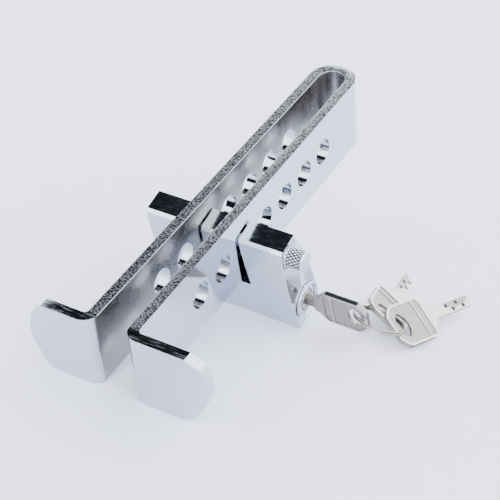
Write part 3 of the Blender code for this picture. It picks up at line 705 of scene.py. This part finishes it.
def build_world(look):
    """A white tent with a dark opening high on the left, as light by its angle from that opening."""
    world = bpy.data.worlds.new("tent")
    bpy.context.scene.world = world
    world.use_nodes = True
    tree = world.node_tree
    tree.nodes.clear()
    place = add_node(tree, "ShaderNodeTexCoord").outputs["Generated"]
    opening = Vector(look.opening).normalized()
    near = add_node(tree, "ShaderNodeVectorMath", {"operation": "DOT_PRODUCT"}, i0=place, i1=opening)
    ramp = add_node(tree, "ShaderNodeValToRGB", None, Fac=near.outputs["Value"])
    ramp.color_ramp.interpolation = "EASE"
    stops = ramp.color_ramp.elements
    stops[0].position = math.cos(look.opening_edge)
    stops[0].color = linear(look.tent)
    stops[1].position = math.cos(look.opening_dark)
    stops[1].color = linear(look.ceiling)
    sky = add_node(tree, "ShaderNodeBackground", None, Color=ramp.outputs[0], Strength=look.tent_strength)
    add_node(tree, "ShaderNodeOutputWorld", None, Surface=sky.outputs[0])


def build_camera():
    """A long lens a little to the right, above and in front, rolled a few degrees."""
    view = bpy.context.scene.pedal_lock_view
    camera = bpy.data.objects.new("camera", bpy.data.cameras.new("camera"))
    bpy.context.scene.collection.objects.link(camera)
    camera.data.lens = view.lens
    camera.data.sensor_width = 36
    camera.data.clip_start = 0.01
    camera.data.clip_end = 20
    turn = Matrix.Rotation(view.azimuth, 4, "Z") @ Matrix.Rotation(math.pi / 2 - view.elevation, 4, "X")
    turn = turn @ Matrix.Rotation(view.roll, 4, "Z")
    camera.matrix_world = Matrix.Translation(LOCK.translation + Vector(view.place)) @ turn
    bpy.context.scene.camera = camera


# ---- Settings --------------------------------------------------------------------------------------------


def length(name, description, default):
    return bpy.props.FloatProperty(
        name=name, description=description, default=default, min=0.0, unit="LENGTH", precision=5
    )


class PedalLockSizes(bpy.types.PropertyGroup):
    body_lean: bpy.props.FloatProperty(
        name="Body lean", description="Lean of the lock body on the strap, in degrees", default=12.5
    )
    strap_thickness: length("Strap plate", "Thickness of the strap's plate", 0.0050)
    strap_bend: length("Hook bend", "Inner radius where the hooks turn out", 0.0010)
    strap_gap: length("Strap gap", "Widest gap between the strap's legs", 0.0153)
    strap_round: length("Strap edge", "Round along the strap's edges", 0.00035)
    strap_inner_round: length("Strap inner edge", "Round along the edges between the legs", 0.0008)
    body_round: length("Body edge", "Round along the lock body's edges", 0.00030)
    knob_diameter: length("Knob", "Diameter of the pin's knob", 0.0098)
    knob_chamfer: length("Knob chamfer", "Chamfer round the knob's end", 0.0007)
    knob_collar: length("Knob collar", "Plain band of the knob before its knurl", 0.0012)
    pin_nose: length("Pin nose", "Chamfer round the pin's tip", 0.0010)
    pin_end: length("Pin end", "Stretch from the tip that is full shank", 0.0060)
    groove_search: length("Groove reach", "Half width within which the latch's groove lies", 0.0045)
    knurl_fade: length("Knurl fade", "Run-out at each end of the knurl", 0.0003)
    # Share of the knurl's depth below which its faces take painted shade.
    knurl_painted_shade_share: bpy.props.FloatProperty(
        name="Knurl dark", description="Share of the depth below which a knurl face is dull", default=0.62
    )
    knurl_depth: length("Knurl depth", "Depth of the knob's diamond knurl", 0.00055)
    knurl_angle: bpy.props.FloatProperty(
        name="Knurl angle", description="Helix angle of the knurl, in degrees", default=35.0
    )
    knurl_teeth: bpy.props.IntProperty(name="Knurl teeth", description="Ridges round the knob", default=18)
    knurl_steps: bpy.props.IntProperty(
        name="Knurl steps", description="Rows of faces along the knurl", default=56
    )
    blade_length: length("Blade length", "Key blade from its tip to the collar's middle", 0.0262)
    blade_width: length("Blade width", "Width of a key's blade", 0.0058)
    head_width: length("Head width", "Width of a key's head", 0.0218)
    head_chamfer: length("Head corner", "Corner taken off a key's head", 0.0045)
    collar_width: length("Collar width", "Width of a key's collar", 0.0112)
    collar_length: length("Collar length", "Length of a key's collar", 0.0022)
    shoulder_length: length("Shoulder", "Slope from a key's collar to its head", 0.0056)
    hole_from_end: length("Hole from end", "Middle of the ring hole from the head's end", 0.0066)
    hole_length: length("Hole length", "Ring hole across the key", 0.0130)
    hole_width: length("Hole width", "Ring hole along the key", 0.0070)
    rim_width: length("Rim", "Raised rim round a key's head", 0.0011)
    rib_width: length("Rib", "Raised rib across a key's head", 0.0006)
    label_width: length("Blank field", "Plain field beside the rib", 0.0036)
    panel_depth: length("Panel depth", "How far the head's panel lies below its rim", 0.00035)
    tip_chamfer: length("Tip chamfer", "Corner taken off a blade's tip", 0.0010)
    key_corner: length("Key corner", "Radius of a key's outline at its corners", 0.0012)
    shoulder_inset: length("Shoulder inset", "How far a shoulder's corner lies inside the head", 0.0022)
    dimple_depth: length("Dimple depth", "Depth of a blade's dimples", 0.0005)
    dimple_width: length("Dimple width", "Width of a blade's dimples", 0.0021)
    ring_swell: length("Ring swell", "What smoothing takes off the ring's wire", 0.00008)
    dimple_count: bpy.props.IntProperty(
        name="Dimples", description="Dimples on each side of a blade", default=4
    )
    first_dimple: length("First dimple", "First dimple from the collar", 0.0100)
    dimple_pitch: length("Dimple pitch", "Spacing of the dimples", 0.0035)
    dimple_offset: length("Dimple offset", "Dimples from the blade's middle", 0.0013)


def colour(name, description, default):
    return bpy.props.StringProperty(name=name, description=description, default=default)


class PedalLockFinishes(bpy.types.PropertyGroup):
    chrome: colour("Chrome", "Chrome plate, sRGB hex", "#C3C9D3")
    chrome_roughness: bpy.props.FloatProperty(
        name="Chrome roughness", description="Blur of the chrome's reflections", default=0.05,
        subtype="FACTOR",
    )
    # Painted shade: the chrome between the legs is darker and warm.
    inside: colour("Inner chrome", "Chrome between the legs, sRGB hex", "#A09E9E")
    edge: colour("Sheared edge", "Crests of the sheared edge, sRGB hex", "#B9BDC4")
    edge_pits: colour("Edge pits", "Pits of the sheared edge, sRGB hex", "#3A3C40")
    key: colour("Key", "Nickel plate of the keys, sRGB hex", "#A8A39D")
    key_shade: colour("Key lines", "Lines in the keys' nickel, sRGB hex", "#7B7772")
    ring: colour("Ring", "Nickel plate of the ring, sRGB hex", "#938D85")
    floor: colour("Floor", "Laminate floor, sRGB hex", "#E6EBFB")
    tent: colour("Tent", "Light from the sides, sRGB hex", "#F7F9FF")
    ceiling: colour("Ceiling", "Light from overhead, sRGB hex", "#0A0C0F")
    tent_strength: bpy.props.FloatProperty(name="Tent light", description="Strength of the tent", default=5.0)
    opening: bpy.props.FloatVectorProperty(
        name="Opening", description="Direction of the tent's dark opening",
        default=(-0.45, 0.1, 0.887), subtype="XYZ",
    )
    opening_dark: bpy.props.FloatProperty(
        name="Dark within", description="Half angle of the dark part of the opening",
        default=math.radians(25), subtype="ANGLE",
    )
    opening_edge: bpy.props.FloatProperty(
        name="Opening edge", description="Half angle at which the tent is white",
        default=math.radians(39), subtype="ANGLE",
    )


class PedalLockView(bpy.types.PropertyGroup):
    place: bpy.props.FloatVectorProperty(
        name="Camera", description="Camera position from the pin's middle",
        default=(0.29919, -0.54195, 0.29470), subtype="XYZ",
    )
    azimuth: bpy.props.FloatProperty(
        name="Azimuth", description="Turn about the vertical", default=math.radians(27.62), subtype="ANGLE"
    )
    elevation: bpy.props.FloatProperty(
        name="Elevation", description="Height above the horizon", default=math.radians(25.97), subtype="ANGLE"
    )
    roll: bpy.props.FloatProperty(
        name="Roll", description="Turn about the line of sight", default=math.radians(5.77), subtype="ANGLE"
    )
    lens: bpy.props.FloatProperty(name="Lens", description="Focal length in millimetres", default=109.8)


# ---- Operators and panel ---------------------------------------------------------------------------------


class PEDALLOCK_OT_strap(bpy.types.Operator):
    """Builds the strap with rounded and sheared edges"""

    bl_idname = "pedal_lock.strap"
    bl_label = "Strap"

    def execute(self, context):
        build_strap()
        return {"FINISHED"}


class PEDALLOCK_OT_body(bpy.types.Operator):
    """Builds the lock body"""

    bl_idname = "pedal_lock.body"
    bl_label = "Lock Body"

    def execute(self, context):
        build_body()
        return {"FINISHED"}


class PEDALLOCK_OT_pin(bpy.types.Operator):
    """Builds the locking pin and its knurled knob"""

    bl_idname = "pedal_lock.pin"
    bl_label = "Locking Pin"

    def execute(self, context):
        build_pin()
        return {"FINISHED"}


class PEDALLOCK_OT_cylinder(bpy.types.Operator):
    """Builds the lock cylinder and finishes the pieces inside it"""

    bl_idname = "pedal_lock.cylinder"
    bl_label = "Lock Cylinder"

    def execute(self, context):
        build_cylinder()
        return {"FINISHED"}


class PEDALLOCK_OT_keys(bpy.types.Operator):
    """Builds the keys with their rims and dimples"""

    bl_idname = "pedal_lock.keys"
    bl_label = "Keys"

    def execute(self, context):
        for name in ("key_1", "key_2", "key_3"):
            build_key(name, name)
        return {"FINISHED"}


class PEDALLOCK_OT_ring(bpy.types.Operator):
    """Builds the split ring"""

    bl_idname = "pedal_lock.ring"
    bl_label = "Split Ring"

    def execute(self, context):
        build_ring()
        return {"FINISHED"}


class PEDALLOCK_OT_stage(bpy.types.Operator):
    """Builds the floor, the light and the camera"""

    bl_idname = "pedal_lock.stage"
    bl_label = "Studio"

    def execute(self, context):
        build_stage()
        return {"FINISHED"}


OPERATORS = (
    PEDALLOCK_OT_strap,
    PEDALLOCK_OT_body,
    PEDALLOCK_OT_pin,
    PEDALLOCK_OT_keys,
    PEDALLOCK_OT_ring,
    PEDALLOCK_OT_cylinder,
    PEDALLOCK_OT_stage,
)


class PEDALLOCK_PT_panel(bpy.types.Panel):
    """The pedal lock's pieces and settings"""

    bl_idname = "PEDALLOCK_PT_panel"
    bl_label = "Pedal Lock"
    bl_space_type = "VIEW_3D"
    bl_region_type = "UI"
    bl_category = "Pedal Lock"

    def draw(self, context):
        for operator in OPERATORS:
            self.layout.operator(operator.bl_idname)
        scene = context.scene
        for group in (scene.pedal_lock_sizes, scene.pedal_lock_finishes, scene.pedal_lock_view):
            box = self.layout.box()
            for name in group.__annotations__:
                box.prop(group, name)


GROUPS = {
    "pedal_lock_sizes": PedalLockSizes,
    "pedal_lock_finishes": PedalLockFinishes,
    "pedal_lock_view": PedalLockView,
}


def register():
    for name, group in GROUPS.items():
        bpy.utils.register_class(group)
        setattr(bpy.types.Scene, name, bpy.props.PointerProperty(type=group))
    for kind in (*OPERATORS, PEDALLOCK_PT_panel):
        bpy.utils.register_class(kind)


def unregister():
    for kind in (PEDALLOCK_PT_panel, *reversed(OPERATORS)):
        bpy.utils.unregister_class(kind)
    for name, group in GROUPS.items():
        delattr(bpy.types.Scene, name)
        bpy.utils.unregister_class(group)


def main():
    register()
    for operator in OPERATORS:
        group, name = operator.bl_idname.split(".")
        getattr(getattr(bpy.ops, group), name)()


if __name__ == "__main__":
    main()
